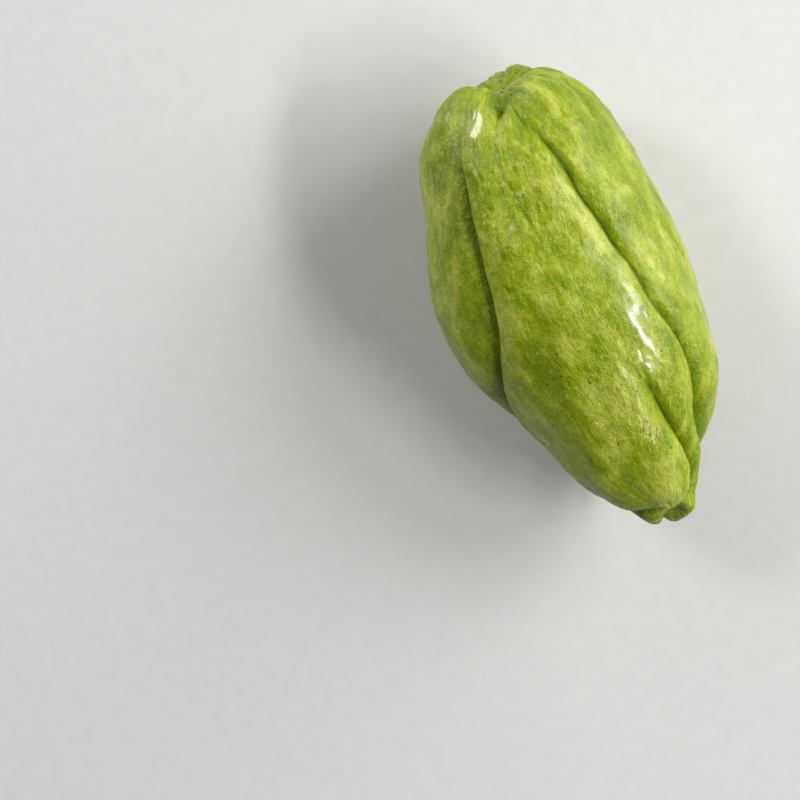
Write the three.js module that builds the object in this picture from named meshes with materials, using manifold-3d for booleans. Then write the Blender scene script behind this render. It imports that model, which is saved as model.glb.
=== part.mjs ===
// Chayote squash: one pear-shaped fruit lying on its side.
//
// Millimetres, +Z up. +Y points along the fruit to the broad blossom end, -Y to the narrow stem end.
// The skin is a tube of rings round a gently bent middle line. Furrows that run from one end to the
// other divide it into lobes, and a small flat on the underside lets it lie still.
//
// A place on the skin is (along, around). along runs from 0 in the hollow of the blossom end to 1 in
// the hollow of the stem end. around is in degrees, 0 on top and 90 on the +X side.

import * as THREE from 'three';
import { mergeVertices } from 'three/addons/utils/BufferGeometryUtils.js';
import Module from 'manifold-3d';

// Overall form

// Outline of the bare tube as [place along the fruit, radius of the ring there], blossom end first.
const TUBE_OUTLINE = [
  [55.6, 0.0], [56.0, 1.8], [57.6, 3.8], [59.0, 6.2], [59.4, 9.0],
  [58.4, 12.6], [55.8, 16.4], [52.0, 19.9], [46.6, 23.1], [39.6, 25.4], [29.6, 27.8],
  [17.0, 30.4], [3.0, 31.6], [-9.0, 30.4], [-22.0, 26.6], [-34.0, 21.4],
  [-45.0, 15.9], [-52.8, 10.4], [-56.5, 6.4], [-57.0, 3.6], [-55.4, 1.6], [-53.4, 0.0],
];

// How far the middle of each ring sits to the +X side, as [along, offset].
const SIDEWAYS = [
  [0.0, -1.2], [0.08, -1.6], [0.18, -2.2], [0.32, -3.0], [0.46, -4.0], [0.56, -3.2],
  [0.64, -1.4], [0.73, 0.0], [0.83, -0.6], [0.92, 0.0], [1.0, 1.8],
];

// Height of a ring over its width: the fruit is a little flattened, as [along, ratio].
const FLATNESS = [[0.0, 1.0], [0.2, 0.93], [0.5, 0.86], [0.8, 0.9], [1.0, 1.0]];

// Both ends lean, so that their hollows look up a little.
const BLOSSOM_LEAN = { from: 22, reach: 34, slope: 0.26 };
const STEM_LEAN = { from: 38, reach: 18, slope: 0.32 };

// Both ends rise a little: the middle line is an arc of this radius, lowest at this place.
const BEND_RADIUS = 360;
const BEND_LOWEST_Y = -14;

// Depth of the flat that the fruit lies on, measured up from its lowest point.
const FLAT_DEPTH = 1.0;

// Furrows

// Each furrow has a path [along, around], a valley [along, depth] with a width on either side of its
// line, and a narrow crease [along, depth] in the middle of the valley.
const FURROWS = {
  upperLeft: {
    path: [
      [0.0, -72], [0.05, -54], [0.09, -45], [0.13, -44], [0.18, -41], [0.24, -38], [0.32, -37],
      [0.4, -35.5], [0.5, -39.5], [0.58, -55], [0.67, -86], [0.78, -103], [0.86, -102], [0.9, -90],
      [0.925, -72], [0.95, -42], [0.968, -20], [0.985, -12], [1.0, -8],
    ],
    valley: [
      [0.0, 0.3], [0.08, 0.5], [0.16, 0.9], [0.28, 1.4], [0.54, 1.7], [0.64, 3.2], [0.75, 3.0],
      [0.94, 1.9], [0.975, 1.4], [1.0, 0.6],
    ],
    crease: [[0.0, 0], [0.14, 0.1], [0.2, 0.6], [0.26, 1.1], [0.6, 0.8], [0.94, 1.2], [1.0, 0.2]],
    before: 4.8,
    after: 2.8,
  },
  // The blossom cleft, which fades out on the broad upper lobe and comes back as the lower furrow.
  cleft: {
    path: [
      [0.0, 2], [0.06, -2], [0.1, -6], [0.14, -11], [0.2, -17], [0.27, -13], [0.34, -5], [0.45, 5],
      [0.58, 10], [0.66, 11], [0.71, 17], [0.75, 22], [0.79, 31], [0.84, 48], [0.88, 62],
      [0.91, 68], [0.93, 65], [0.945, 55], [0.957, 42], [0.97, 27], [0.985, 15], [1.0, 10],
    ],
    valley: [
      [0.0, 1.8], [0.035, 4.4], [0.07, 5.4], [0.095, 3.8], [0.13, 1.4], [0.2, 0.3], [0.32, 0.2],
      [0.45, 0.5], [0.6, 0.6], [0.68, 0.9], [0.75, 1.9], [0.84, 2.5], [0.94, 2.3], [0.97, 1.8],
      [1.0, 0.4],
    ],
    crease: [
      [0.0, 0], [0.05, 0.2], [0.1, 0.8], [0.14, 0.2], [0.2, 0], [0.6, 0], [0.68, 0.2],
      [0.75, 0.9], [0.96, 0.9], [0.98, 0.5], [1.0, 0],
    ],
    before: 2.4,
    after: 3.8,
  },
  upperRight: {
    path: [
      [0.0, 56], [0.05, 34], [0.1, 15], [0.14, 12], [0.18, 18], [0.23, 22], [0.28, 24], [0.34, 25],
      [0.4, 30], [0.47, 34.5], [0.55, 37], [0.65, 46], [0.73, 53], [0.8, 65], [0.85, 88], [0.9, 108],
      [1.0, 122],
    ],
    valley: [
      [0.0, 0.1], [0.1, 0.2], [0.13, 1.0], [0.17, 2.4], [0.32, 1.7], [0.6, 1.5], [0.73, 2.1],
      [0.8, 3.6], [0.86, 3.4], [0.91, 1.5], [0.94, 0.3], [1.0, 0],
    ],
    crease: [[0.0, 0], [0.13, 0], [0.17, 0.5], [0.22, 1.0], [0.6, 0.9], [0.87, 0.7], [0.93, 0]],
    before: 2.4,
    after: 6.0,
  },
  right: {
    path: [
      [0.0, 96], [0.06, 97], [0.11, 92], [0.15, 82], [0.2, 70], [0.26, 61], [0.32, 59], [0.4, 64],
      [0.5, 76], [0.58, 89], [0.7, 103], [0.85, 124], [1.0, 145],
    ],
    valley: [
      [0.0, 0.4], [0.08, 1.6], [0.16, 2.4], [0.24, 1.8], [0.34, 1.2], [0.6, 1.8], [0.74, 2.2],
      [0.82, 3.0], [0.9, 1.2], [0.94, 0.4], [1.0, 0],
    ],
    crease: [[0.0, 0.2], [0.08, 0.3], [0.3, 0.1], [0.6, 0.5], [0.85, 0.5], [0.92, 0]],
    before: 5.0,
    after: 9.0,
  },
  lowerRight: {
    path: [
      [0.0, 132], [0.07, 118], [0.11, 124], [0.2, 124], [0.35, 118], [0.6, 126], [0.8, 140],
      [1.0, 168],
    ],
    valley: [
      [0.0, 0.5], [0.08, 1.6], [0.2, 1.6], [0.4, 1.2], [0.6, 1.4], [0.8, 1.6], [0.9, 0.5], [0.94, 0],
    ],
    crease: [[0.0, 0.2], [0.08, 0.8], [0.3, 0.4], [0.84, 0.4], [0.92, 0]],
    before: 5.0,
    after: 6.0,
  },
  under: {
    path: [
      [0.0, 172], [0.07, 163], [0.12, 164], [0.2, 166], [0.35, 162], [0.6, 160], [0.8, 165],
      [1.0, 188],
    ],
    valley: [[0.0, 0.4], [0.08, 0.9], [0.2, 1.8], [0.4, 2.4], [0.6, 2.4], [0.8, 2.2], [0.9, 0.9], [0.95, 0]],
    crease: [[0.0, 0.2], [0.08, 0.5], [0.3, 0.8], [0.6, 0.8], [0.86, 0.6], [0.93, 0]],
    before: 6.0,
    after: 7.0,
  },
  lowerLeft: {
    path: [
      [0.0, 242], [0.08, 238], [0.2, 230], [0.35, 228], [0.6, 222], [0.8, 214], [0.92, 208],
      [0.955, 210], [0.975, 230], [1.0, 260],
    ],
    valley: [[0.0, 0.6], [0.05, 2.4], [0.1, 2.8], [0.2, 2.0], [0.8, 2.0], [0.94, 1.1], [1.0, 0.3]],
    crease: [[0.0, 0.2], [0.08, 0.9], [0.3, 0.7], [0.6, 0.7], [0.9, 0.8], [0.975, 0.9], [1.0, 0]],
    before: 7.0,
    after: 7.0,
  },
  // A faint valley on the left lobe that divides no lobe of its own.
  faintLeft: {
    path: [
      [0.0, -170], [0.08, -125], [0.14, -100], [0.18, -80], [0.25, -71], [0.35, -66], [0.5, -68],
      [0.65, -80],
    ],
    valley: [[0.0, 0.1], [0.08, 0.4], [0.2, 0.6], [0.4, 0.5], [0.55, 0]],
    crease: [[0.0, 0], [0.3, 0.1], [0.5, 0]],
    before: 4.0,
    after: 4.0,
  },
};

const CREASE_WIDTH = 1.3;
const VALLEY_ROUNDING = 0.8;

// Where the rings get small, a furrow narrows to this share of its width, and it runs out in the hollows.
const FULL_WIDTH_RADIUS = 10;
const RIM_RADIUS = 3.5;
const THROAT_RADIUS = 2;
const NARROWEST = 0.2;

// Bulges: soft rises that no furrow makes. length and width are their reach, and a height below 0 makes
// a dip.
const BULGES = [
  { along: 0.06, around: -86, length: 8, width: 7.5, height: 3.2 },
  { along: 0.095, around: -148, length: 9, width: 9, height: -3.0 },
];

// Heights of the lobes' gentle swells, from the broadest to the finest, on rings past this radius.
const SWELLS = { broad: 0.34, long: 0.3, short: 0.22, fine: 0.16 };
const SWELL_RADIUS = 12;

// Mesh

// The lobes in order round the fruit: each is split into this many strips from furrow to furrow.
const LOBES = [
  { from: 'upperLeft', to: 'cleft', strips: 16 },
  { from: 'cleft', to: 'upperRight', strips: 12 },
  { from: 'upperRight', to: 'right', strips: 12 },
  { from: 'right', to: 'lowerRight', strips: 10 },
  { from: 'lowerRight', to: 'under', strips: 10 },
  { from: 'under', to: 'lowerLeft', strips: 12 },
  { from: 'lowerLeft', to: 'upperLeft', strips: 16 },
];
const RINGS = 60;
const RING_CROWDING = 0.35;
const STRIP_CROWDING = 0.6;

const SKIN_COLOUR = 0x93a436;
const SKIN_ROUGHNESS = 0.45;

// Small helpers

const { clamp, degToRad, euclideanModulo, smoothstep } = THREE.MathUtils;

// A smooth curve through [place, value] stations, flat where the values turn round.
function through(stations, place) {
  const last = stations.length - 1;
  const at = clamp(place, stations[0][0], stations[last][0]);
  const slope = (k) => (stations[k + 1][1] - stations[k][1]) / (stations[k + 1][0] - stations[k][0]);
  const tangent = (k) => {
    if (k === 0) return slope(0);
    if (k === last) return slope(last - 1);
    const before = slope(k - 1);
    const after = slope(k);
    return before * after > 0 ? (before + after) / 2 : 0;
  };
  let k = 0;
  while (k < last - 1 && at >= stations[k + 1][0]) k += 1;
  const span = stations[k + 1][0] - stations[k][0];
  const w = (at - stations[k][0]) / span;
  const w2 = w * w;
  const w3 = w2 * w;
  return stations[k][1] * (2 * w3 - 3 * w2 + 1)
    + tangent(k) * span * (w3 - 2 * w2 + w)
    + stations[k + 1][1] * (3 * w2 - 2 * w3)
    + tangent(k + 1) * span * (w3 - w2);
}

// Crowds evenly spaced places from 0 to 1 towards both ends.
function crowd(place, amount) {
  return place - amount * Math.sin(2 * Math.PI * place) / (2 * Math.PI);
}

// The bare tube

const outlineCurve = new THREE.SplineCurve(TUBE_OUTLINE.map(([y, r]) => new THREE.Vector2(y, r)));
outlineCurve.arcLengthDivisions = 800;
const SKIN_LENGTH = outlineCurve.getLength();

// Middle place, radius and outward direction of the bare ring at a place along the fruit.
function ringOfTube(along) {
  const point = outlineCurve.getPointAt(along);
  const tangent = outlineCurve.getTangentAt(along);
  return { y: point.x, radius: Math.max(point.y, 0), outY: tangent.y, outRadius: -tangent.x };
}

// How deep the furrows cut at a place on the skin, where the bare ring has this radius.
function furrowDepth(along, around, radius) {
  const widening = smoothstep(radius, THROAT_RADIUS, FULL_WIDTH_RADIUS);
  const narrowing = NARROWEST + (1 - NARROWEST) * widening;
  let depth = 0;
  for (const furrow of Object.values(FURROWS)) {
    const turn = euclideanModulo(around - through(furrow.path, along) + 180, 360) - 180;
    const across = degToRad(turn) * Math.max(radius, THROAT_RADIUS);
    const width = (across < 0 ? furrow.before : furrow.after) * narrowing;
    const away = Math.hypot(across, VALLEY_ROUNDING) - VALLEY_ROUNDING;
    depth += through(furrow.valley, along) * Math.exp(-away / width);
    depth += through(furrow.crease, along) * Math.exp(-((across / CREASE_WIDTH) ** 2));
  }
  return depth * smoothstep(radius, 0, RIM_RADIUS);
}

// How high the bulges rise at a place on the skin, where the bare ring has this radius.
function bulgeHeight(along, around, radius) {
  let height = 0;
  for (const bulge of BULGES) {
    const lengthwise = (along - bulge.along) * SKIN_LENGTH;
    const turn = euclideanModulo(around - bulge.around + 180, 360) - 180;
    const across = degToRad(turn) * Math.max(radius, THROAT_RADIUS);
    height += bulge.height * Math.exp(-((lengthwise / bulge.length) ** 2) - (across / bulge.width) ** 2);
  }
  return height * smoothstep(radius, 0, RIM_RADIUS);
}

// Gentle swells and dips of the lobes, from a few waves that a slower wave bends.
function swellHeight(x, y, z) {
  const drift = 1.6 * Math.sin(0.07 * x - 0.05 * y + 0.09 * z + 0.6);
  const broad = SWELLS.broad * Math.sin(0.19 * x + 0.08 * y + drift + 1.1);
  const long = SWELLS.long * Math.sin(0.13 * y - 0.22 * z + 1.2 * drift + 2.7);
  const short = SWELLS.short * Math.sin(0.31 * x - 0.17 * y + 0.27 * z - drift + 0.4);
  const fine = SWELLS.fine * Math.sin(0.52 * x + 0.21 * y - 0.48 * z + 2 * drift);
  return broad + long + short + fine * Math.sin(0.33 * x + 0.16 * y + 1.3);
}

// The skin

// Leans both ends and bends the middle line upwards.
function leanAndBend(point) {
  const blossom = smoothstep(point.y, BLOSSOM_LEAN.from, BLOSSOM_LEAN.from + BLOSSOM_LEAN.reach);
  const stem = smoothstep(-point.y, STEM_LEAN.from, STEM_LEAN.from + STEM_LEAN.reach);
  const y = point.y - point.z * (BLOSSOM_LEAN.slope * blossom - STEM_LEAN.slope * stem);
  const turn = (y - BEND_LOWEST_Y) / BEND_RADIUS;
  const arm = BEND_RADIUS - point.z;
  return point.set(point.x, BEND_LOWEST_Y + arm * Math.sin(turn), BEND_RADIUS - arm * Math.cos(turn));
}

// The point of the skin at (along, around).
function skinPoint(along, around) {
  const ring = ringOfTube(along);
  const angle = degToRad(around);
  const swell = swellHeight(ring.radius * Math.sin(angle), ring.y, ring.radius * Math.cos(angle));
  const fade = smoothstep(ring.radius, THROAT_RADIUS, SWELL_RADIUS);
  const rise = swell * fade - furrowDepth(along, around, ring.radius)
    + bulgeHeight(along, around, ring.radius);
  const radius = ring.radius + rise * ring.outRadius;
  const x = through(SIDEWAYS, along) + radius * Math.sin(angle);
  const z = radius * through(FLATNESS, along) * Math.cos(angle);
  return leanAndBend(new THREE.Vector3(x, ring.y + rise * ring.outY, z));
}

// Angles of the strips' edges on one ring. They follow the furrows and crowd towards them.
function stripAngles(along) {
  const angles = [];
  for (const lobe of LOBES) {
    const start = through(FURROWS[lobe.from].path, along);
    const end = through(FURROWS[lobe.to].path, along);
    const width = euclideanModulo(end - start, 360);
    for (let k = 0; k < lobe.strips; k += 1) {
      angles.push(start + width * crowd(k / lobe.strips, STRIP_CROWDING));
    }
  }
  return angles;
}

// The closed skin: one vertex at either end and rings of quads, split in two, between them.
function skinGeometry() {
  const positions = [];
  const faces = [];
  const ringSize = LOBES.reduce((sum, lobe) => sum + lobe.strips, 0);
  const add = (point) => positions.push(point.x, point.y, point.z);
  add(skinPoint(0, 0));
  for (let ring = 1; ring < RINGS; ring += 1) {
    const along = crowd(ring / RINGS, RING_CROWDING);
    stripAngles(along).forEach((around) => add(skinPoint(along, around)));
  }
  add(skinPoint(1, 0));
  const vertex = (ring, strip) => 1 + (ring - 1) * ringSize + strip % ringSize;
  const stemEnd = vertex(RINGS, 0);
  for (let strip = 0; strip < ringSize; strip += 1) {
    faces.push(0, vertex(1, strip), vertex(1, strip + 1));
    for (let ring = 1; ring < RINGS - 1; ring += 1) {
      const a = vertex(ring, strip);
      const b = vertex(ring, strip + 1);
      const c = vertex(ring + 1, strip + 1);
      const d = vertex(ring + 1, strip);
      faces.push(a, d, c, a, c, b);
    }
    faces.push(stemEnd, vertex(RINGS - 1, strip + 1), vertex(RINGS - 1, strip));
  }
  const geometry = new THREE.BufferGeometry();
  geometry.setAttribute('position', new THREE.Float32BufferAttribute(positions, 3));
  geometry.setIndex(faces);
  return geometry;
}

// Cutting the flat

const manifold = await Module();
manifold.setup();

function toSolid(geometry) {
  const bare = geometry.clone();
  bare.deleteAttribute('normal');
  bare.deleteAttribute('uv');
  const merged = mergeVertices(bare);
  return new manifold.Manifold(new manifold.Mesh({
    numProp: 3,
    vertProperties: new Float32Array(merged.attributes.position.array),
    triVerts: new Uint32Array(merged.index.array),
  }));
}

function toGeometry(solid) {
  const mesh = solid.getMesh();
  const geometry = new THREE.BufferGeometry();
  geometry.setAttribute('position', new THREE.BufferAttribute(new Float32Array(mesh.vertProperties), 3));
  geometry.setIndex(new THREE.BufferAttribute(new Uint32Array(mesh.triVerts), 1));
  return geometry;
}

// Takes a thin slice off the underside and sets the fruit down on it, centred over the origin.
function layDown(geometry) {
  geometry.computeBoundingBox();
  const box = geometry.boundingBox;
  const middle = box.getCenter(new THREE.Vector3());
  const size = box.getSize(new THREE.Vector3());
  geometry.translate(-middle.x, -middle.y, -box.min.z - FLAT_DEPTH);
  const slice = new THREE.BoxGeometry(2 * size.x, 2 * size.y, 2 * size.z);
  slice.translate(0, 0, -size.z);
  return toGeometry(toSolid(geometry).subtract(toSolid(slice)));
}

const fruitGeometry = layDown(skinGeometry());
fruitGeometry.computeVertexNormals();

const fruit = new THREE.Mesh(
  fruitGeometry,
  new THREE.MeshStandardMaterial({ color: SKIN_COLOUR, roughness: SKIN_ROUGHNESS, metalness: 0 }),
);
fruit.name = 'chayote_fruit';

const chayote = new THREE.Group();
chayote.add(fruit);

export default chayote;
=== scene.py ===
# %% [markdown]
# A chayote is a pear-shaped green fruit, about as long as a hand. Deep furrows run from the hollow at
# its blossom end to its narrow stem end and divide it into uneven lobes. The solid fruit is already
# made and stands in the frame at its real size. This lesson gives it the skin that a real one has,
# a camera, a table and light. Everything is made by rules with named numbers, because a changed
# number then changes the whole fruit, which no sculpted mesh allows.

import bisect
import math
from types import SimpleNamespace

import bmesh
import bpy
from mathutils import Matrix, Vector, geometry, noise


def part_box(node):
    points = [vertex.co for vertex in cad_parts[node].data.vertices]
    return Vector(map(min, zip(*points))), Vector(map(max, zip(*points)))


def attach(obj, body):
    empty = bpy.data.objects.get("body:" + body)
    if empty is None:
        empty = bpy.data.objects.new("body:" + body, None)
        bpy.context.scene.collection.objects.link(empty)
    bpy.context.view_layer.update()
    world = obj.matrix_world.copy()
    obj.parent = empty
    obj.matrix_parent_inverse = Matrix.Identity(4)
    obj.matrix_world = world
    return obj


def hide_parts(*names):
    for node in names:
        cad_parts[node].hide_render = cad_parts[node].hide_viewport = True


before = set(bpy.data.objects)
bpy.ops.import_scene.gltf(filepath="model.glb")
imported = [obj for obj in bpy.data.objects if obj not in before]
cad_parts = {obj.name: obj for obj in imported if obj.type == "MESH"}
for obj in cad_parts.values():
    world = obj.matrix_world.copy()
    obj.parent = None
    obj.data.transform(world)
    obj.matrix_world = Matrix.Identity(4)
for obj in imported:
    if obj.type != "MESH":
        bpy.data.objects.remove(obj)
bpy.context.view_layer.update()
fruit_low, fruit_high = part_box("chayote_fruit")
fruit_centre = (fruit_low + fruit_high) / 2
MM = 1000.0
print("fruit, mm:", [round(side * MM, 1) for side in fruit_high - fruit_low])

# %% [markdown]
# The camera comes first, because it decides how much of the fruit each later choice can show. The
# picture was taken from straight above, with the fruit off to the right and turned a little. A camera
# that stands over the fruit and is tipped until the fruit lands on its place in the picture sees the
# same sides of every lobe. The lens follows from the picture's scale and the camera's height.

# %% Place the camera
IMAGE_SIDE = 800
PLUMB_PIXEL = (586, 301)
PLUMB_FOOT = Vector((0.00418, -0.0011, 0.0))
CAMERA_HEIGHT = 0.8
PIXELS_PER_SLOPE = 3154
SENSOR_WIDTH = 36.0
PICTURE_TURN = math.radians(-21.5)
STRAIGHT_DOWN = Vector((0.0, 0.0, -1.0))

across_picture = (PLUMB_PIXEL[0] - IMAGE_SIDE / 2) / PIXELS_PER_SLOPE
up_picture = (IMAGE_SIDE / 2 - PLUMB_PIXEL[1]) / PIXELS_PER_SLOPE
plumb_ray = Vector((across_picture, up_picture, -1.0))
tip_to_plumb = plumb_ray.rotation_difference(STRAIGHT_DOWN).to_matrix()
turn_picture = Matrix.Rotation(PICTURE_TURN, 3, "Z")

camera_data = bpy.data.cameras.new("camera")
camera_data.sensor_width = SENSOR_WIDTH
camera_data.lens = PIXELS_PER_SLOPE * SENSOR_WIDTH / IMAGE_SIDE
camera = bpy.data.objects.new("camera", camera_data)
camera.matrix_world = (turn_picture @ tip_to_plumb).to_4x4()
camera.location = PLUMB_FOOT + Vector((0.0, 0.0, CAMERA_HEIGHT))
bpy.context.scene.collection.objects.link(camera)
bpy.context.scene.camera = camera
print("lens, mm:", round(camera_data.lens, 1))

# %% [markdown]
# The shape is a tube of rings, and a place on it is (along, around). Along runs from 0 in the hollow
# of the blossom end to 1 in the hollow of the stem end. Around is in degrees, 0 on top. The numbers
# below are the fruit's own plan, in millimetres, and the solid in the frame was made from the same
# ones. Repeating the plan keeps the two forms together and lets the skin have far more faces.

# %% Plan of the tube
TUBE_OUTLINE = [
    (55.6, 0.0), (56.0, 1.8), (57.6, 3.8), (59.0, 6.2), (59.4, 9.0),
    (58.4, 12.6), (55.8, 16.4), (52.0, 19.9), (46.6, 23.1), (39.6, 25.4), (29.6, 27.8),
    (17.0, 30.4), (3.0, 31.6), (-9.0, 30.4), (-22.0, 26.6), (-34.0, 21.4),
    (-45.0, 15.9), (-52.8, 10.4), (-56.5, 6.4), (-57.0, 3.6), (-55.4, 1.6), (-53.4, 0.0),
]
SIDEWAYS = [
    (0.0, -1.2), (0.08, -1.6), (0.18, -2.2), (0.32, -3.0), (0.46, -4.0), (0.56, -3.2),
    (0.64, -1.4), (0.73, 0.0), (0.83, -0.6), (0.92, 0.0), (1.0, 1.8),
]
FLATNESS = [(0.0, 1.0), (0.2, 0.93), (0.5, 0.86), (0.8, 0.9), (1.0, 1.0)]
BLOSSOM_LEAN = SimpleNamespace(start=22, reach=34, slope=0.26)
STEM_LEAN = SimpleNamespace(start=38, reach=18, slope=0.32)
BEND_RADIUS = 360
BEND_LOWEST_Y = -14

# %% Plan of the furrows
# A furrow has a path (along, around), a valley (along, depth) that is wider on one side of its line
# than on the other, and a narrow crease (along, depth) in the middle of the valley.
FURROWS = {
    "upper_left": SimpleNamespace(
        path=[
            (0.0, -72), (0.05, -54), (0.09, -45), (0.13, -44), (0.18, -41), (0.24, -38), (0.32, -37),
            (0.4, -35.5), (0.5, -39.5), (0.58, -55), (0.67, -86), (0.78, -103), (0.86, -102), (0.9, -90),
            (0.925, -72), (0.95, -42), (0.968, -20), (0.985, -12), (1.0, -8),
        ],
        valley=[
            (0.0, 0.3), (0.08, 0.5), (0.16, 0.9), (0.28, 1.4), (0.54, 1.7), (0.64, 3.2), (0.75, 3.0),
            (0.94, 1.9), (0.975, 1.4), (1.0, 0.6),
        ],
        crease=[(0.0, 0), (0.14, 0.1), (0.2, 0.6), (0.26, 1.1), (0.6, 0.8), (0.94, 1.2), (1.0, 0.2)],
        before=4.8,
        after=2.8,
    ),
    "cleft": SimpleNamespace(
        path=[
            (0.0, 2), (0.06, -2), (0.1, -6), (0.14, -11), (0.2, -17), (0.27, -13), (0.34, -5), (0.45, 5),
            (0.58, 10), (0.66, 11), (0.71, 17), (0.75, 22), (0.79, 31), (0.84, 48), (0.88, 62),
            (0.91, 68), (0.93, 65), (0.945, 55), (0.957, 42), (0.97, 27), (0.985, 15), (1.0, 10),
        ],
        valley=[
            (0.0, 1.8), (0.035, 4.4), (0.07, 5.4), (0.095, 3.8), (0.13, 1.4), (0.2, 0.3), (0.32, 0.2),
            (0.45, 0.5), (0.6, 0.6), (0.68, 0.9), (0.75, 1.9), (0.84, 2.5), (0.94, 2.3), (0.97, 1.8),
            (1.0, 0.4),
        ],
        crease=[
            (0.0, 0), (0.05, 0.2), (0.1, 0.8), (0.14, 0.2), (0.2, 0), (0.6, 0), (0.68, 0.2),
            (0.75, 0.9), (0.96, 0.9), (0.98, 0.5), (1.0, 0),
        ],
        before=2.4,
        after=3.8,
    ),
    "upper_right": SimpleNamespace(
        path=[
            (0.0, 56), (0.05, 34), (0.1, 15), (0.14, 12), (0.18, 18), (0.23, 22), (0.28, 24), (0.34, 25),
            (0.4, 30), (0.47, 34.5), (0.55, 37), (0.65, 46), (0.73, 53), (0.8, 65), (0.85, 88), (0.9, 108),
            (1.0, 122),
        ],
        valley=[
            (0.0, 0.1), (0.1, 0.2), (0.13, 1.0), (0.17, 2.4), (0.32, 1.7), (0.6, 1.5), (0.73, 2.1),
            (0.8, 3.6), (0.86, 3.4), (0.91, 1.5), (0.94, 0.3), (1.0, 0),
        ],
        crease=[(0.0, 0), (0.13, 0), (0.17, 0.5), (0.22, 1.0), (0.6, 0.9), (0.87, 0.7), (0.93, 0)],
        before=2.4,
        after=6.0,
    ),
    "right": SimpleNamespace(
        path=[
            (0.0, 96), (0.06, 97), (0.11, 92), (0.15, 82), (0.2, 70), (0.26, 61), (0.32, 59), (0.4, 64),
            (0.5, 76), (0.58, 89), (0.7, 103), (0.85, 124), (1.0, 145),
        ],
        valley=[
            (0.0, 0.4), (0.08, 1.6), (0.16, 2.4), (0.24, 1.8), (0.34, 1.2), (0.6, 1.8), (0.74, 2.2),
            (0.82, 3.0), (0.9, 1.2), (0.94, 0.4), (1.0, 0),
        ],
        crease=[(0.0, 0.2), (0.08, 0.3), (0.3, 0.1), (0.6, 0.5), (0.85, 0.5), (0.92, 0)],
        before=5.0,
        after=9.0,
    ),
    "lower_right": SimpleNamespace(
        path=[
            (0.0, 132), (0.07, 118), (0.11, 124), (0.2, 124), (0.35, 118), (0.6, 126), (0.8, 140),
            (1.0, 168),
        ],
        valley=[
            (0.0, 0.5), (0.08, 1.6), (0.2, 1.6), (0.4, 1.2), (0.6, 1.4), (0.8, 1.6), (0.9, 0.5), (0.94, 0),
        ],
        crease=[(0.0, 0.2), (0.08, 0.8), (0.3, 0.4), (0.84, 0.4), (0.92, 0)],
        before=5.0,
        after=6.0,
    ),
    "under": SimpleNamespace(
        path=[
            (0.0, 172), (0.07, 163), (0.12, 164), (0.2, 166), (0.35, 162), (0.6, 160), (0.8, 165),
            (1.0, 188),
        ],
        valley=[
            (0.0, 0.4), (0.08, 0.9), (0.2, 1.8), (0.4, 2.4), (0.6, 2.4), (0.8, 2.2), (0.9, 0.9),
            (0.95, 0),
        ],
        crease=[(0.0, 0.2), (0.08, 0.5), (0.3, 0.8), (0.6, 0.8), (0.86, 0.6), (0.93, 0)],
        before=6.0,
        after=7.0,
    ),
    "lower_left": SimpleNamespace(
        path=[
            (0.0, 242), (0.08, 238), (0.2, 230), (0.35, 228), (0.6, 222), (0.8, 214), (0.92, 208),
            (0.955, 210), (0.975, 230), (1.0, 260),
        ],
        valley=[(0.0, 0.6), (0.05, 2.4), (0.1, 2.8), (0.2, 2.0), (0.8, 2.0), (0.94, 1.1), (1.0, 0.3)],
        crease=[(0.0, 0.2), (0.08, 0.9), (0.3, 0.7), (0.6, 0.7), (0.9, 0.8), (0.975, 0.9), (1.0, 0)],
        before=7.0,
        after=7.0,
    ),
    "faint_left": SimpleNamespace(
        path=[
            (0.0, -170), (0.08, -125), (0.14, -100), (0.18, -80), (0.25, -71), (0.35, -66), (0.5, -68),
            (0.65, -80),
        ],
        valley=[(0.0, 0.1), (0.08, 0.4), (0.2, 0.6), (0.4, 0.5), (0.55, 0)],
        crease=[(0.0, 0), (0.3, 0.1), (0.5, 0)],
        before=4.0,
        after=4.0,
    ),
}
CREASE_WIDTH = 1.3
VALLEY_ROUNDING = 0.8
FULL_WIDTH_RADIUS = 10
RIM_RADIUS = 3.5
THROAT_RADIUS = 2
NARROWEST = 0.2

# %% Plan of the bulges
# A bulge is a soft rise that no furrow makes. Length and width are its reach in mm, and a height below
# 0 makes a dip.
BULGES = [
    SimpleNamespace(along=0.06, around=-86, length=8, width=7.5, height=3.2),
    SimpleNamespace(along=0.095, around=-148, length=9, width=9, height=-3.0),
]

# %% Plan of the swells
# A wave has a height in mm, its radians per mm along x, y and z, its start in radians, and a bend: how
# much the slow wave shifts it. The fine swell comes and goes in patches.
SLOW_WAVE = SimpleNamespace(height=1.6, x=0.07, y=-0.05, z=0.09, bend=0, start=0.6)
SWELLS = [
    SimpleNamespace(height=0.34, x=0.19, y=0.08, z=0, bend=1, start=1.1),
    SimpleNamespace(height=0.3, x=0, y=0.13, z=-0.22, bend=1.2, start=2.7),
    SimpleNamespace(height=0.22, x=0.31, y=-0.17, z=0.27, bend=-1, start=0.4),
]
FINE_SWELL = SimpleNamespace(height=0.16, x=0.52, y=0.21, z=-0.48, bend=2, start=0)
FINE_PATCHES = SimpleNamespace(height=1, x=0.33, y=0.16, z=0, bend=0, start=1.3)
SWELL_RADIUS = 12


def wave(shape, x, y, z, drift=0.0):
    """Height of one wave at a place."""
    turn = shape.x * x + shape.y * y + shape.z * z + shape.bend * drift + shape.start
    return shape.height * math.sin(turn)


def swell_height(x, y, z):
    """Gentle swells and dips of the lobes, from a few waves that a slower wave bends."""
    drift = wave(SLOW_WAVE, x, y, z)
    height = sum(wave(swell, x, y, z, drift) for swell in SWELLS)
    return height + wave(FINE_SWELL, x, y, z, drift) * wave(FINE_PATCHES, x, y, z)


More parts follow.
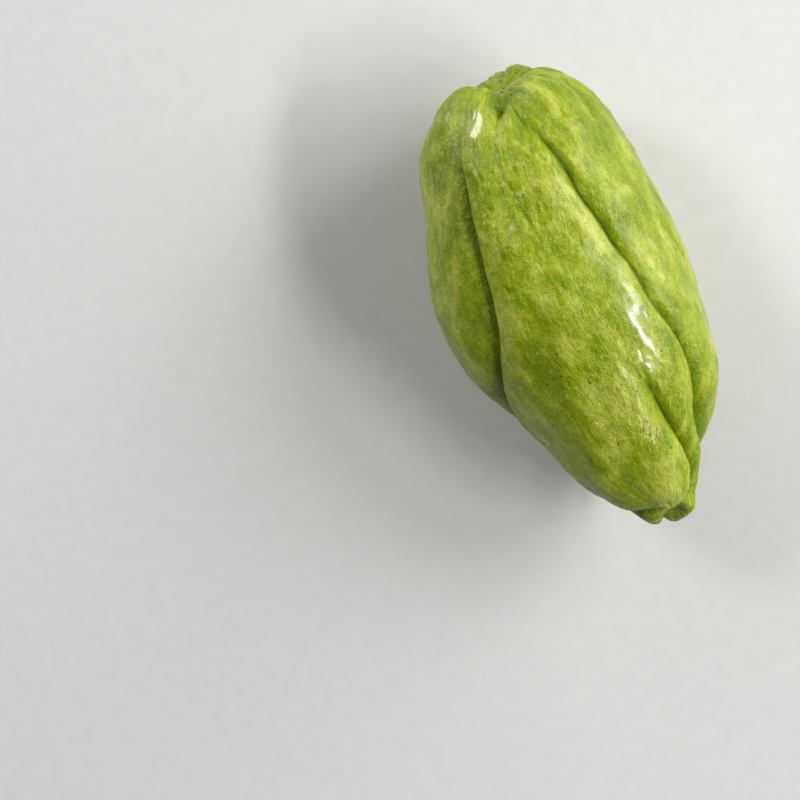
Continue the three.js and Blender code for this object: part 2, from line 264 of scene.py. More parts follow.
# %% [markdown]
# A list of stations becomes a smooth curve by joining them with cubic pieces. Each piece takes its
# slope at a station from the neighbours, and lies flat where the values turn round, so that the curve
# never swings past a station. The outline is drawn with Blender's own Bezier function and measured
# along its length, so that rings are spaced evenly over the skin and not over the fruit's axis.

# %% Smooth curves through stations
def through(stations, place):
    """Value at a place of a smooth curve through (place, value) stations."""
    last = len(stations) - 1
    at = min(max(place, stations[0][0]), stations[last][0])

    def slope(k):
        return (stations[k + 1][1] - stations[k][1]) / (stations[k + 1][0] - stations[k][0])

    def tangent(k):
        if k == 0:
            return slope(0)
        if k == last:
            return slope(last - 1)
        before, after = slope(k - 1), slope(k)
        return (before + after) / 2 if before * after > 0 else 0.0

    k = 0
    while k < last - 1 and at >= stations[k + 1][0]:
        k += 1
    span = stations[k + 1][0] - stations[k][0]
    w = (at - stations[k][0]) / span
    start_weight = 2 * w**3 - 3 * w**2 + 1
    start_bend = tangent(k) * span * (w**3 - 2 * w**2 + w)
    end_bend = tangent(k + 1) * span * (w**3 - w**2)
    return stations[k][1] * start_weight + stations[k + 1][1] * (1 - start_weight) + start_bend + end_bend


def smoothstep(value, low, high):
    """0 below low, 1 above high, and smooth in between."""
    w = min(max((value - low) / (high - low), 0.0), 1.0)
    return w * w * (3 - 2 * w)


def crowd(place, amount):
    """Crowds evenly spaced places from 0 to 1 towards both ends."""
    return place - amount * math.sin(math.tau * place) / math.tau


# %% Measure the outline
POINTS_PER_PIECE = 48

outline = []
for k in range(len(TUBE_OUTLINE) - 1):
    before, start, end, after = [
        Vector(TUBE_OUTLINE[min(max(j, 0), len(TUBE_OUTLINE) - 1)]) for j in range(k - 1, k + 3)
    ]
    first_handle = start + (end - before) / 6
    second_handle = end - (after - start) / 6
    piece = geometry.interpolate_bezier(start, first_handle, second_handle, end, POINTS_PER_PIECE + 1)
    outline.extend(piece if k == 0 else piece[1:])

outline_runs = [0.0]
for start, end in zip(outline, outline[1:]):
    outline_runs.append(outline_runs[-1] + (end - start).length)
SKIN_LENGTH = outline_runs[-1]
print("skin from end to end, mm:", round(SKIN_LENGTH, 1))


def outline_direction(k):
    """Direction of the outline at one of its points."""
    return (outline[min(k + 1, len(outline) - 1)] - outline[max(k - 1, 0)]).normalized()


def distance_around(around, middle, radius):
    """Distance in mm around the fruit, at this radius, from an angle to a place."""
    return math.radians((around - middle + 180) % 360 - 180) * radius


def nearness(spot, along, around, radius):
    """1 in the middle of a spot, falling to 0 beyond its length and width."""
    lengthwise = (along - spot.along) * SKIN_LENGTH
    across = distance_around(around, spot.around, radius)
    return math.exp(-((lengthwise / spot.length) ** 2) - (across / spot.width) ** 2)


def bulge_height(along, around, radius):
    """Height of the bulges at a place on a ring with this radius, in mm."""
    wide = max(radius, THROAT_RADIUS)
    return sum(bulge.height * nearness(bulge, along, around, wide) for bulge in BULGES)


# %% Work out what one ring shares
def make_ring(along):
    """Place, radius, outward direction and furrows of the ring at a place along the fruit."""
    run = min(max(along, 0.0), 1.0) * SKIN_LENGTH
    k = min(max(bisect.bisect_right(outline_runs, run) - 1, 0), len(outline) - 2)
    share = (run - outline_runs[k]) / (outline_runs[k + 1] - outline_runs[k])
    point = outline[k].lerp(outline[k + 1], share)
    direction = outline_direction(k).lerp(outline_direction(k + 1), share).normalized()
    radius = max(point.y, 0.0)
    narrowing = NARROWEST + (1 - NARROWEST) * smoothstep(radius, THROAT_RADIUS, FULL_WIDTH_RADIUS)
    furrows = []
    for furrow in FURROWS.values():
        furrows.append(SimpleNamespace(
            around=through(furrow.path, along),
            valley=through(furrow.valley, along),
            crease=through(furrow.crease, along),
            before=furrow.before * narrowing,
            after=furrow.after * narrowing,
        ))
    return SimpleNamespace(
        along=along,
        y=point.x,
        radius=radius,
        out_y=direction.y,
        out_radius=-direction.x,
        sideways=through(SIDEWAYS, along),
        flatness=through(FLATNESS, along),
        furrows=furrows,
        rim=smoothstep(radius, 0, RIM_RADIUS),
        swell_fade=smoothstep(radius, THROAT_RADIUS, SWELL_RADIUS),
    )


# %% [markdown]
# The furrows are what the eye sees first. From a few steps away each one is a soft valley, but the
# lobes on its two sides nearly touch at the bottom, so that close up there is a fine dark line of shade.
# The valley and its crease come from the fruit's plan. The skin adds the line as a thin, sharp groove,
# and keeps how deep and how near the line each point is, because the colour later paints shade into
# the valleys and onto the line.

# %% Cut the furrows
LINE_WIDTH = 0.55
LINE_DEPTH = 0.5


def furrow_cut(ring, around):
    """(depth of the furrows, share of the fine line) at a place on a ring."""
    depth = 0.0
    line = 0.0
    for furrow in ring.furrows:
        across = distance_around(around, furrow.around, max(ring.radius, THROAT_RADIUS))
        width = furrow.before if across < 0 else furrow.after
        away = math.hypot(across, VALLEY_ROUNDING) - VALLEY_ROUNDING
        crease = math.exp(-((across / CREASE_WIDTH) ** 2))
        depth += furrow.valley * math.exp(-away / width) + furrow.crease * crease
        line += min(furrow.crease, 1.0) ** 2 * math.exp(-((across / LINE_WIDTH) ** 2))
    return depth * ring.rim, line * ring.rim


# %% [markdown]
# Between the furrows the skin is never smooth. It has soft lumps as large as a fingertip, finer bumps,
# small pits, and shallow wrinkles that run with the lobes and crowd together at the blossom end.
# Noise makes such things well: it is random but repeats itself exactly on every run. For wrinkles the
# noise is stretched along the lobes and folded where it crosses zero, which turns it into thin lines.

# %% Fine relief of the skin
LUMPS = SimpleNamespace(size=6.5, height=0.34)
BUMPS = SimpleNamespace(size=2.7, height=0.17, shift=Vector((7.1, 3.3, 5.9)))
WRINKLES = SimpleNamespace(spacing=2.6, length=7.5, depth=0.24, sharpness=2.2)
FIBRES = SimpleNamespace(spacing=1.3, length=3.6, depth=0.12, sharpness=1.6)
PATCHES = SimpleNamespace(size=15.0, middle=0.5, contrast=0.9, least=0.25, shift=Vector((1.7, 9.2, 4.4)))
PITS = SimpleNamespace(spacing=7.5, radius=1.0, depth=0.24, share=0.45, shuffle=3.0)
BLOSSOM_WRINKLES = SimpleNamespace(middle=0.15, reach=0.1, gain=0.8)
FLOW_RADIUS = 27.0

# Dents have a depth, and bumps a depth below 0. Turn is in degrees away from lengthwise.
DENTS = [
    SimpleNamespace(along=0.345, around=-6, length=4.5, width=0.8, turn=15, depth=0.55),
    SimpleNamespace(along=0.477, around=0, length=3.0, width=0.7, turn=8, depth=0.5),
    SimpleNamespace(along=0.453, around=-22.5, length=1.4, width=1.1, turn=0, depth=0.7),
    SimpleNamespace(along=0.893, around=-25, length=9.0, width=3.0, turn=0, depth=0.5),
    SimpleNamespace(along=0.778, around=-48, length=5.0, width=0.8, turn=-20, depth=0.4),
    SimpleNamespace(along=0.304, around=-3.5, length=2.4, width=1.6, turn=0, depth=-0.4),
    SimpleNamespace(along=0.564, around=-1.5, length=2.6, width=1.4, turn=10, depth=-0.35),
    SimpleNamespace(along=0.166, around=-9.5, length=3.6, width=2.0, turn=0, depth=-0.5),
    SimpleNamespace(along=0.24, around=38, length=3.2, width=1.8, turn=0, depth=-0.4),
    SimpleNamespace(along=0.37, around=52, length=3.0, width=2.2, turn=0, depth=-0.4),
]
DENT_REACH = 2.5

# Places that are worn smooth, where the fine relief keeps only a share of its height.
SMOOTH_PLACES = [
    SimpleNamespace(along=0.6, around=23.5, length=15, width=5.5),
    SimpleNamespace(along=0.13, around=-30, length=9, width=5),
]
SMOOTH_SHARE = 0.12


def folded(place, sharpness):
    """1 on the thin lines where noise crosses zero, falling to 0 beside them."""
    return max(0.0, 1.0 - abs(noise.noise(place)) * sharpness) ** 2


def dent_depth(along, around):
    """Depth of the single dents and bumps at a place, in mm."""
    depth = 0.0
    for dent in DENTS:
        lengthwise = (along - dent.along) * SKIN_LENGTH
        if abs(lengthwise) > DENT_REACH * dent.length:
            continue
        across = distance_around(around, dent.around, FLOW_RADIUS)
        turn = math.radians(dent.turn)
        u = lengthwise * math.cos(turn) + across * math.sin(turn)
        v = across * math.cos(turn) - lengthwise * math.sin(turn)
        depth += dent.depth * math.exp(-((u / dent.length) ** 2) - (v / dent.width) ** 2)
    return depth


def relief_share(along, around, radius):
    """Share of the fine relief that is left at a place: 1 but for the smooth places."""
    smooth = sum(nearness(spot, along, around, radius) for spot in SMOOTH_PLACES)
    return 1.0 - (1.0 - SMOOTH_SHARE) * smooth


def fold_depth(folds, flow, strength):
    """Depth of thin lines that are spaced closely across the lobes and run along them, in mm."""
    stretched = Vector((flow.x / folds.spacing, flow.y / folds.length, flow.z / folds.spacing))
    return folds.depth * strength * folded(stretched, folds.sharpness)


def fine_relief(ring, flow, bare):
    """Height of the fine relief, from the flow place and the bare tube's place, all in mm."""
    lumps = LUMPS.height * noise.noise(bare / LUMPS.size)
    bumps = BUMPS.height * noise.noise(bare / BUMPS.size + BUMPS.shift)
    patch = PATCHES.middle + PATCHES.contrast * noise.noise(bare / PATCHES.size + PATCHES.shift)
    patch = min(max(patch, 0.0), 1.0)
    crowding = math.exp(-(((ring.along - BLOSSOM_WRINKLES.middle) / BLOSSOM_WRINKLES.reach) ** 2))
    strength = PATCHES.least + (1 - PATCHES.least) * patch + BLOSSOM_WRINKLES.gain * crowding
    wrinkles = fold_depth(WRINKLES, flow, strength)
    fibres = fold_depth(FIBRES, flow, strength)
    distances, centres = noise.voronoi(bare / PITS.spacing)
    kept = noise.cell(centres[0] * PITS.shuffle) < PITS.share
    pit = PITS.depth * math.exp(-((distances[0] * PITS.spacing / PITS.radius) ** 2)) if kept else 0.0
    return lumps + bumps - wrinkles - fibres - pit


# %% Bend a point into place
def lean_and_bend(point):
    """Leans both ends, so that their hollows look up, and bends the middle line upwards."""
    blossom = smoothstep(point.y, BLOSSOM_LEAN.start, BLOSSOM_LEAN.start + BLOSSOM_LEAN.reach)
    stem = smoothstep(-point.y, STEM_LEAN.start, STEM_LEAN.start + STEM_LEAN.reach)
    y = point.y - point.z * (BLOSSOM_LEAN.slope * blossom - STEM_LEAN.slope * stem)
    turn = (y - BEND_LOWEST_Y) / BEND_RADIUS
    arm = BEND_RADIUS - point.z
    return Vector((point.x, BEND_LOWEST_Y + arm * math.sin(turn), BEND_RADIUS - arm * math.cos(turn)))


def skin_point(ring, around, flow):
    """(point of the skin, furrow depth, share of the fine line) at a place on a ring, in mm."""
    angle = math.radians(around)
    bare = Vector((ring.radius * math.sin(angle), ring.y, ring.radius * math.cos(angle)))
    depth, line = furrow_cut(ring, around)
    rise = swell_height(*bare) * ring.swell_fade - depth - LINE_DEPTH * line
    rise += bulge_height(ring.along, around, ring.radius) * ring.rim
    relief = fine_relief(ring, flow, bare) * relief_share(ring.along, around, ring.radius)
    rise += (relief - dent_depth(ring.along, around)) * ring.rim
    radius = ring.radius + rise * ring.out_radius
    x = ring.sideways + radius * math.sin(angle)
    z = radius * ring.flatness * math.cos(angle)
    return lean_and_bend(Vector((x, ring.y + rise * ring.out_y, z))), depth, line


# %% [markdown]
# The mesh starts as a UV sphere, whose rings and strips are just the rings and lobes of this tube.
# Every vertex is then moved to its place on the fruit. The strips are shared out among the lobes and
# follow the furrows, so that a row of edges lies exactly in the bottom of each one, where the form
# turns sharply. A plain sphere would cut across the furrows and leave them ragged.

# %% Share out the strips
LOBES = [
    ("upper_left", "cleft", 58), ("cleft", "upper_right", 44), ("upper_right", "right", 44),
    ("right", "lower_right", 36), ("lower_right", "under", 36), ("under", "lower_left", 44),
    ("lower_left", "upper_left", 58),
]
RINGS = 300
STRIPS = sum(strips for _, _, strips in LOBES)
RING_CROWDING = 0.3
STRIP_CROWDING = 0.35


def strip_angles(along):
    """Angle of every strip's edge on the ring at a place along the fruit."""
    angles = []
    for first, second, strips in LOBES:
        start = through(FURROWS[first].path, along)
        width = (through(FURROWS[second].path, along) - start) % 360
        angles.extend(start + width * crowd(k / strips, STRIP_CROWDING) for k in range(strips))
    return angles


# %% Move the sphere's vertices
def ring_and_strip(vertex):
    """Which ring and strip of the unit sphere a vertex is on. Ring 0 is its +Z pole."""
    x, y, z = vertex.co
    ring = round(math.acos(max(-1.0, min(1.0, z))) / math.pi * RINGS)
    return ring, round(math.atan2(y, x) / math.tau * STRIPS) % STRIPS


def flow_place(along, around):
    """A place on a plain cylinder as long as the skin, in mm, where every lobe runs straight."""
    turn = math.radians(around)
    return Vector((FLOW_RADIUS * math.sin(turn), along * SKIN_LENGTH, FLOW_RADIUS * math.cos(turn)))


mesh_maker = bmesh.new()
bmesh.ops.create_uvsphere(mesh_maker, u_segments=STRIPS, v_segments=RINGS, radius=1.0)
flow_layer = mesh_maker.verts.layers.float_vector.new("flow")
depth_layer = mesh_maker.verts.layers.float.new("furrow_depth")
line_layer = mesh_maker.verts.layers.float.new("furrow_line")

rings = [make_ring(crowd(k / RINGS, RING_CROWDING)) for k in range(RINGS + 1)]
ring_angles = [strip_angles(ring.along) for ring in rings]
for vertex in mesh_maker.verts:
    k, strip = ring_and_strip(vertex)
    flow = flow_place(rings[k].along, ring_angles[k][strip])
    point, depth, line = skin_point(rings[k], ring_angles[k][strip], flow)
    vertex.co = point / MM
    vertex[flow_layer] = flow
    vertex[depth_layer] = depth
    vertex[line_layer] = line
print("vertices:", len(mesh_maker.verts), "faces:", len(mesh_maker.faces))

# %% [markdown]
# The skin must lie exactly where the solid fruit lies, and rest on the table with the same small flat.
# So it is moved until the tops and sides of the two boxes agree, and what would sink into the table is
# lifted onto it. The surface normals are left to the operators that made the sphere, and are checked
# by the sign of the enclosed volume.

# %% Lay the skin over the solid fruit
def mesh_box(verts):
    """Lowest and highest corner of some vertices."""
    corners = [vertex.co for vertex in verts]
    low = Vector([min(corner[axis] for corner in corners) for axis in range(3)])
    high = Vector([max(corner[axis] for corner in corners) for axis in range(3)])
    return low, high


skin_low, skin_high = mesh_box(mesh_maker.verts)
shift = fruit_centre - (skin_low + skin_high) / 2
shift.z = fruit_high.z - skin_high.z
bmesh.ops.translate(mesh_maker, verts=mesh_maker.verts, vec=shift)
for vertex in mesh_maker.verts:
    vertex.co.z = max(vertex.co.z, 0.0)
if mesh_maker.calc_volume(signed=True) < 0:
    bmesh.ops.reverse_faces(mesh_maker, faces=mesh_maker.faces)
print("moved, mm:", [round(side * MM, 2) for side in shift])
print("volume, ml:", round(mesh_maker.calc_volume(signed=True) * 1e6, 1))

# %% Make the piece
skin_mesh = bpy.data.meshes.new("chayote_skin")
mesh_maker.to_mesh(skin_mesh)
mesh_maker.free()
for polygon in skin_mesh.polygons:
    polygon.use_smooth = True
chayote_skin = bpy.data.objects.new("chayote_skin", skin_mesh)
bpy.context.scene.collection.objects.link(chayote_skin)
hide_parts("chayote_fruit")
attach(chayote_skin, "root")

# %% [markdown]
# A material is a small program of nodes. Written as Python, long chains of maths nodes are easier to
# read as formulas. So one class stands for an output socket and knows plus, minus and times, and
# another adds any other node. Both only build ordinary nodes, which can be opened in the editor.

# %% Write shader maths as formulas
class Wire:
    """An output socket of a finish. Arithmetic with it adds Math nodes."""

    def __init__(self, finish, socket):
        self.finish = finish
        self.socket = socket

    def math(self, operation, *values):
        return self.finish.add("ShaderNodeMath", {"operation": operation}, dict(enumerate(values)))

    def __add__(self, other):
        return self.math("ADD", self, other)

    def __mul__(self, other):
        return self.math("MULTIPLY", self, other)

    def __sub__(self, other):
        return self.math("SUBTRACT", self, other)

    def __rsub__(self, other):
        return self.math("SUBTRACT", other, self)

    __radd__ = __add__
    __rmul__ = __mul__


class Finish:
    """A material whose nodes are added one after the other."""

    def __init__(self, name):
        self.material = bpy.data.materials.new(name)
        self.material.use_nodes = True
        self.tree = self.material.node_tree
        self.tree.nodes.clear()

    def add(self, kind, settings=None, sockets=None, output=0):
        """Adds a node: first its settings, a ramp's stops among them, then its sockets' values or links."""
        node = self.tree.nodes.new(kind)
        for name, value in (settings or {}).items():
            if name == "stops":
                self.set_stops(node.color_ramp, value)
            else:
                setattr(node, name, value)
        for key, value in (sockets or {}).items():
            if isinstance(value, Wire):
                self.tree.links.new(value.socket, node.inputs[key])
            else:
                node.inputs[key].default_value = value
        return Wire(self, node.outputs[output]) if node.outputs else None

    def set_stops(self, ramp, stops):
        """Gives a colour ramp its (place, colour) stops."""
        while len(ramp.elements) < len(stops):
            ramp.elements.new(1.0)
        for element, (place, colour) in zip(ramp.elements, stops):
            element.position = place
            element.color = colour

    def noise(self, place, size, detail=2.0, roughness=0.5, distortion=0.0):
        """Cloudy noise from 0 to 1, with clouds about as large as size."""
        sockets = {"Vector": place, "Scale": 1 / size, "Detail": detail, "Roughness": roughness}
        return self.add("ShaderNodeTexNoise", None, {**sockets, "Distortion": distortion})

    def cells(self, place, size, feature="F1"):
        """Distance to the middle of the nearest cell, 0 to about 1."""
        sockets = {"Vector": place, "Scale": 1 / size}
        return self.add("ShaderNodeTexVoronoi", {"feature": feature}, sockets)

    def step(self, value, low, high):
        """0 where the value is low, 1 where it is high, and smooth in between."""
        sockets = {"Value": value, "From Min": low, "From Max": high}
        return self.add("ShaderNodeMapRange", {"interpolation_type": "SMOOTHSTEP"}, sockets)

    def blend(self, share, first, second, mode="MIX"):
        """Mixes two colours."""
        settings = {"data_type": "RGBA", "blend_type": mode}
        return self.add("ShaderNodeMix", settings, {0: share, 6: first, 7: second}, output=2)

    def stretch(self, place, factors):
        """Multiplies a place by three factors."""
        return self.add("ShaderNodeVectorMath", {"operation": "MULTIPLY"}, {0: place, 1: factors})

    def attribute(self, name, output="Fac"):
        """Reads a value that the mesh holds at its points."""
        return self.add("ShaderNodeAttribute", {"attribute_name": name}, output=output)


def rgb(red, green, blue):
    """A colour given as on a screen, 0 to 255, made linear for the renderer."""
    def linear(channel):
        share = channel / 255
        return share / 12.92 if share <= 0.04045 else ((share + 0.055) / 1.055) ** 2.4

    return linear(red), linear(green), linear(blue), 1.0


# %% [markdown]
# Every fruit also has marks of its own: a pale scar with dark dots where the blossom sat, a few dark
# specks, a patch of brown scratches, a grey scar beside the stem, and two ridges that shine more than
# the rest. Beside the furrows lie pale flanks, which are painted light on the lobes' lit edges. Each
# mark is a list of places on the fruit, and its mask is the distance to the nearest of them. The
# distance is measured through space and not along the skin, because that keeps a small mark round even
# in a hollow.

# %% Marks of the skin and painted light
# Places are (along, around), and the radius is in mm.
BLOSSOM_SCAR = SimpleNamespace(radius=1.8, share=0.5, colour=rgb(172, 182, 78), places=[
    (0.01, 30), (0.02, 90),
])
SCAR_DOTS = SimpleNamespace(radius=0.42, share=0.9, colour=rgb(38, 34, 8), places=[
    (0.009, 176), (0.009, 34), (0.012, 134), (0.043, 27), (0.027, 160), (0.053, 22), (0.02, 80),
    (0.03, 50),
])
RIM_DOTS = SimpleNamespace(radius=0.3, share=0.75, colour=rgb(38, 34, 8), places=[
    (0.067, 43), (0.073, 46), (0.076, 127), (0.053, 40), (0.06, 58),
])
SPECKS = SimpleNamespace(radius=0.32, share=0.75, colour=rgb(38, 34, 8), places=[
    (0.621, -21), (0.627, -30), (0.7, 8.5), (0.644, 29), (0.358, 70), (0.581, -16), (0.652, -11),
    (0.824, 23), (0.778, -15), (0.42, -70), (0.3, 95), (0.52, 130), (0.7, 170), (0.35, -150),
    (0.8, -140),
])
SCRATCHED = SimpleNamespace(radius=2.4, share=0.85, colour=rgb(112, 98, 20), places=[
    (0.766, 6), (0.782, 10), (0.798, 13),
])
STEM_SCAR = SimpleNamespace(radius=0.9, share=0.6, colour=rgb(156, 164, 92), places=[
    (0.932, 1), (0.931, 7), (0.931, 13), (0.938, 21),
])
# The pale flanks beside the furrows are painted light: bright rims where the lobes face the lamps.
PAINTED_LIGHT_FLANKS = SimpleNamespace(radius=3.4, share=0.8, colour=rgb(196, 200, 92), places=[
    (0.3, 12), (0.33, 16), (0.36, 19.5), (0.39, 23), (0.43, 26), (0.68, -8), (0.71, -3), (0.74, 2),
    (0.77, 8), (0.87, 14), (0.895, 17), (0.915, 10),
])
GLOSSY = SimpleNamespace(radius=3.0, share=0.8, places=[
    (0.53, 24), (0.55, 24), (0.575, 23.5), (0.6, 23), (0.625, 23), (0.65, 23.5), (0.67, 24),
    (0.111, -21), (0.125, -26), (0.141, -31), (0.152, -37), (0.162, -43),
])
MARK_CORE = 0.6
MARK_REACH = 1.2


def mark_place(along, around):
    """Where a place on the fruit ends up in the scene, in mm."""
    point, _, _ = skin_point(make_ring(along), around, flow_place(along, around))
    return point + shift * MM


# %% Skin places and masks
skin = Finish("chayote_skin")
object_place = skin.add("ShaderNodeTexCoord", output="Object")
place = skin.stretch(object_place, (MM, MM, MM))
flow = skin.attribute("flow", "Vector")
furrow_depth = skin.attribute("furrow_depth")
furrow_line = skin.attribute("furrow_line")


def marked(mark):
    """A mark's share within its radius of the nearest place, and 0 a little further away."""
    nearest = None
    for along, around in mark.places:
        sockets = {0: place, 1: mark_place(along, around)}
        distance = skin.add("ShaderNodeVectorMath", {"operation": "DISTANCE"}, sockets, output="Value")
        nearest = nearest.math("MINIMUM", nearest, distance) if nearest else distance
    inside = 1 - skin.step(nearest, mark.radius * MARK_CORE, mark.radius * MARK_REACH)
    return inside * mark.share


# The valley mask darkens the tone in the furrows, which is painted shade. The crest mask makes it a little
# paler on the ridges, which is painted light, and also sets where the coat lies.
valley = skin.step(furrow_depth, 0.6, 4.2)
crest = 1 - skin.step(furrow_depth, 0.3, 1.7)
patches = skin.noise(skin.stretch(flow, (1.0, 0.45, 1.0)), 5.0, detail=3.0, roughness=0.6)
clouds = skin.noise(place, 11.0, detail=2.0)
mottle = skin.noise(place, 1.8, detail=3.0, roughness=0.7)
fibres = skin.noise(skin.stretch(flow, (1.0, 0.2, 1.0)), 0.9, detail=3.0, roughness=0.6, distortion=0.6)
grain = skin.noise(place, 0.55, detail=2.0, roughness=0.6)
scratches = skin.step(skin.noise(skin.stretch(flow, (1.0, 0.4, 1.0)), 0.5, detail=1.0), 0.5, 0.62)
dot_place = skin.noise(place, 0.8, detail=1.0)
dot_share = skin.step(skin.noise(place, 6.0, detail=1.0), 0.4, 0.62)

# %% [markdown]
# The skin's colour is a yellowish green with three tones. It is deep and saturated in small patches
# and in between elsewhere. It is also made deeper in the valleys and a little paler on the crests,
# which is painted shade and painted light. Patches, clouds, fibres along the lobes and a fine mottle
# decide the tone together, each with its own weight. Over that lie pale dots that stand in for glints,
# which is painted highlight, dark flecks, the painted shade of the furrows' fine line, and the marks.
# Large forms come from the mesh's own attributes and small ones from noise, because a mesh point every
# half millimetre is too coarse.

# %% Skin colours
DEEP_GREEN = rgb(106, 130, 0)
MID_GREEN = rgb(138, 154, 6)
PALE_GREEN = rgb(184, 190, 78)
# The pale green of the dots below stands in for small glints: painted highlight.
PAINTED_GLINT_GREEN = rgb(208, 214, 116)
FLECK_OLIVE = rgb(88, 88, 8)
# The dark green of the furrows' fine line below is painted shade.
LINE_SHADE_GREEN = rgb(62, 78, 4)
TONE_STOPS = [(0.15, DEEP_GREEN), (0.5, MID_GREEN), (0.95, PALE_GREEN)]
# The tone's valley term is painted shade in the furrows, and its crest term a little painted light on the
# ridges.
TONE = SimpleNamespace(middle=0.46, patches=1.5, clouds=0.6, fibres=0.7, mottle=0.6, valley=0.3, crest=0.05)
PAINTED_GLINT_SHARE = 0.28
FLECK_SHARE = 0.4
LINE_SHADE_SHARE = 0.75
NOISE_MIDDLE = 0.5

tone = TONE.middle + (patches - NOISE_MIDDLE) * TONE.patches + (clouds - NOISE_MIDDLE) * TONE.clouds
tone = tone + (fibres - NOISE_MIDDLE) * TONE.fibres + (mottle - NOISE_MIDDLE) * TONE.mottle
# Deeper in the valleys and paler on the crests: painted shade and painted light.
tone = tone - valley * TONE.valley + crest * TONE.crest
tone_colour = skin.add("ShaderNodeValToRGB", {"stops": TONE_STOPS}, {0: tone})
# Pale dots that stand in for small glints of the skin, which is painted highlight. They also give the bump
# small rises.
glint_freckles = skin.step(dot_place, 0.6, 0.7) * dot_share
flecks = skin.step(dot_place, 0.36, 0.28)
# The fine dark line at the bottom of each furrow is painted shade.
lines = skin.step(furrow_line, 0.1, 0.9)
# Painted light on the flanks beside the furrows, broken up by the fibres.
skin_colour = skin.blend(marked(PAINTED_LIGHT_FLANKS) * fibres, tone_colour, PAINTED_LIGHT_FLANKS.colour)
skin_colour = skin.blend(glint_freckles * PAINTED_GLINT_SHARE, skin_colour, PAINTED_GLINT_GREEN)
skin_colour = skin.blend(flecks * FLECK_SHARE, skin_colour, FLECK_OLIVE)
skin_colour = skin.blend(lines * LINE_SHADE_SHARE, skin_colour, LINE_SHADE_GREEN)
for mark in (BLOSSOM_SCAR, STEM_SCAR):
    skin_colour = skin.blend(marked(mark), skin_colour, mark.colour)
skin_colour = skin.blend(marked(SCRATCHED) * scratches, skin_colour, SCRATCHED.colour)
for mark in (SCAR_DOTS, RIM_DOTS, SPECKS):
    skin_colour = skin.blend(marked(mark), skin_colour, mark.colour)

# %% Skin gloss and bumps
ROUGH = SimpleNamespace(least=0.24, mottle=0.2, valley=0.08)
BUMP = SimpleNamespace(mottle=0.45, fibres=0.4, grain=0.4, pits=0.3, glint_freckles=0.15)
BUMP_METRES = 0.0005
CREST_COAT = 0.2

roughness = ROUGH.least + mottle * ROUGH.mottle + valley * ROUGH.valley
pits = skin.cells(place, 1.2, "SMOOTH_F1")
bump_height = mottle * BUMP.mottle + fibres * BUMP.fibres + grain * BUMP.grain
bump_height = bump_height + pits * BUMP.pits + glint_freckles * BUMP.glint_freckles
bump = skin.add("ShaderNodeBump", None, {"Distance": BUMP_METRES, "Height": bump_height, "Strength": 1.0})

shader = skin.add("ShaderNodeBsdfPrincipled", None, {
    "Base Color": skin_colour,
    "Roughness": roughness,
    "Normal": bump,
    "IOR": 1.45,
    "Specular IOR Level": 0.35,
    "Subsurface Weight": 0.12,
    "Subsurface Radius": (1.0, 1.1, 0.35),
    "Subsurface Scale": 0.0025,
    "Coat Weight": crest * CREST_COAT + marked(GLOSSY),
    "Coat Roughness": 0.15,
})
skin.add("ShaderNodeOutputMaterial", None, {"Surface": shader})
chayote_skin.data.materials.append(skin.material)

# %% [markdown]
# The table and the room are plain and pale, so that they only carry the fruit's shadow and colour
# nothing. The table is much larger than the fruit, so that no view sees its edge.

# %% Make the table and the room
TABLE_SIDE = 6.0
TABLE_PALE = rgb(214, 212, 210)
TABLE_DARK = rgb(206, 204, 202)
TABLE_ROUGHNESS = 0.6
SPECKLE_SIZE = 0.004
ROOM_LIGHT = 0.11

table_maker = bmesh.new()
bmesh.ops.create_grid(table_maker, x_segments=1, y_segments=1, size=TABLE_SIDE / 2)
table_mesh = bpy.data.meshes.new("table_top")
table_maker.to_mesh(table_mesh)
table_maker.free()
table_top = bpy.data.objects.new("table_top", table_mesh)
bpy.context.scene.collection.objects.link(table_top)

paint = Finish("table_paint")
speckle = paint.noise(paint.add("ShaderNodeTexCoord", output="Object"), SPECKLE_SIZE, detail=2.0)
paint_shader = paint.add("ShaderNodeBsdfPrincipled", None, {
    "Base Color": paint.blend(speckle, TABLE_DARK, TABLE_PALE),
    "Roughness": TABLE_ROUGHNESS,
})
paint.add("ShaderNodeOutputMaterial", None, {"Surface": paint_shader})
table_top.data.materials.append(paint.material)

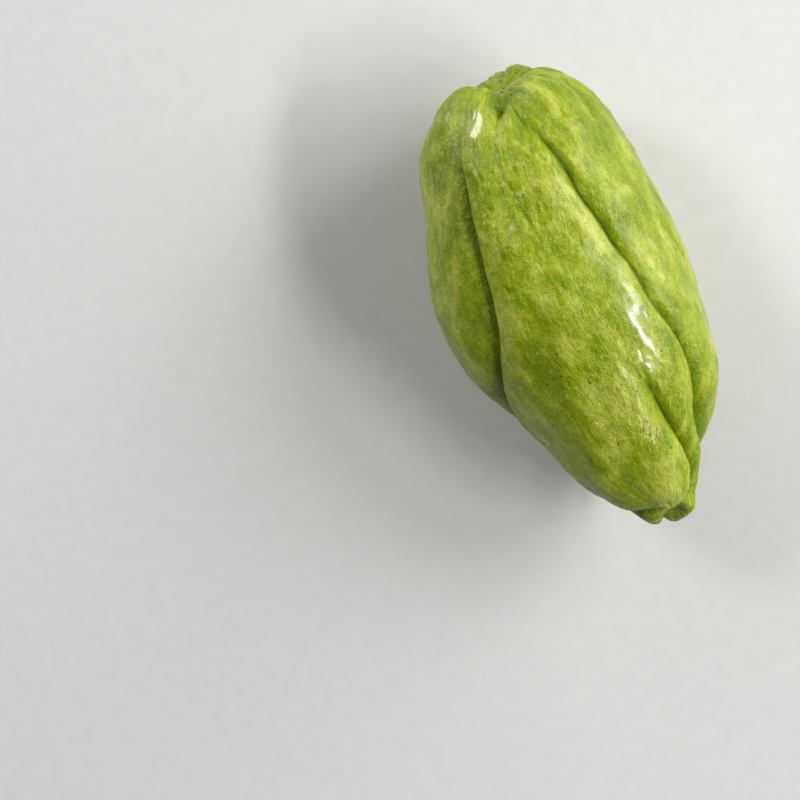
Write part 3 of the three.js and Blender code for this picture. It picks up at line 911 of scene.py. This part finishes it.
room = bpy.data.worlds.new("room")
room.use_nodes = True
room.node_tree.nodes["Background"].inputs["Color"].default_value = (1.0, 1.0, 1.0, 1.0)
room.node_tree.nodes["Background"].inputs["Strength"].default_value = ROOM_LIGHT
bpy.context.scene.world = room
bpy.context.scene.view_settings.view_transform = "Standard"

# %% [markdown]
# The fruit's gloss shows as long streaks on the ridges. Such streaks are mirror images of the lamps,
# so each lamp is a softbox, a bright rectangle, and its place decides where its streak falls. The
# large one at the picture's right gives most of the light, and a smaller one at the upper left fills
# the shadows. The three narrow ones only draw streaks: on the middle ridge, on the left shoulder and
# on the right lobe. Their places are given as seen in the picture, because that is where the streaks
# are seen.

# %% Hang the softboxes
# Right, up and height are metres from the middle of the scene, to the picture's right, to its top and
# above the table.
SOFTBOXES = [
    SimpleNamespace(
        name="right_softbox", right=0.85, up=0.4, height=0.6, width=0.7, length=0.5, watts=10.0,
    ),
    SimpleNamespace(
        name="right_strip", right=0.62, up=0.68, height=0.34, width=0.6, length=0.12, watts=2.0,
    ),
    SimpleNamespace(
        name="ridge_strip", right=0.68, up=-0.16, height=0.7, width=0.4, length=0.1, watts=4.5,
    ),
    SimpleNamespace(
        name="shoulder_strip", right=-0.6, up=0.78, height=0.24, width=0.6, length=0.22, watts=4.6,
    ),
    SimpleNamespace(
        name="left_softbox", right=-0.8, up=0.5, height=0.9, width=0.3, length=0.3, watts=4.6,
    ),
]

for softbox in SOFTBOXES:
    where = turn_picture @ Vector((softbox.right, softbox.up, 0.0)) + Vector((0.0, 0.0, softbox.height))
    lamp_data = bpy.data.lights.new(softbox.name, "AREA")
    lamp_data.shape = "RECTANGLE"
    lamp_data.size = softbox.width
    lamp_data.size_y = softbox.length
    lamp_data.energy = softbox.watts
    lamp = bpy.data.objects.new(softbox.name, lamp_data)
    lamp.location = where
    lamp.rotation_euler = (fruit_centre - where).to_track_quat("-Z", "Y").to_euler()
    bpy.context.scene.collection.objects.link(lamp)
    print(softbox.name, [round(side, 2) for side in where])
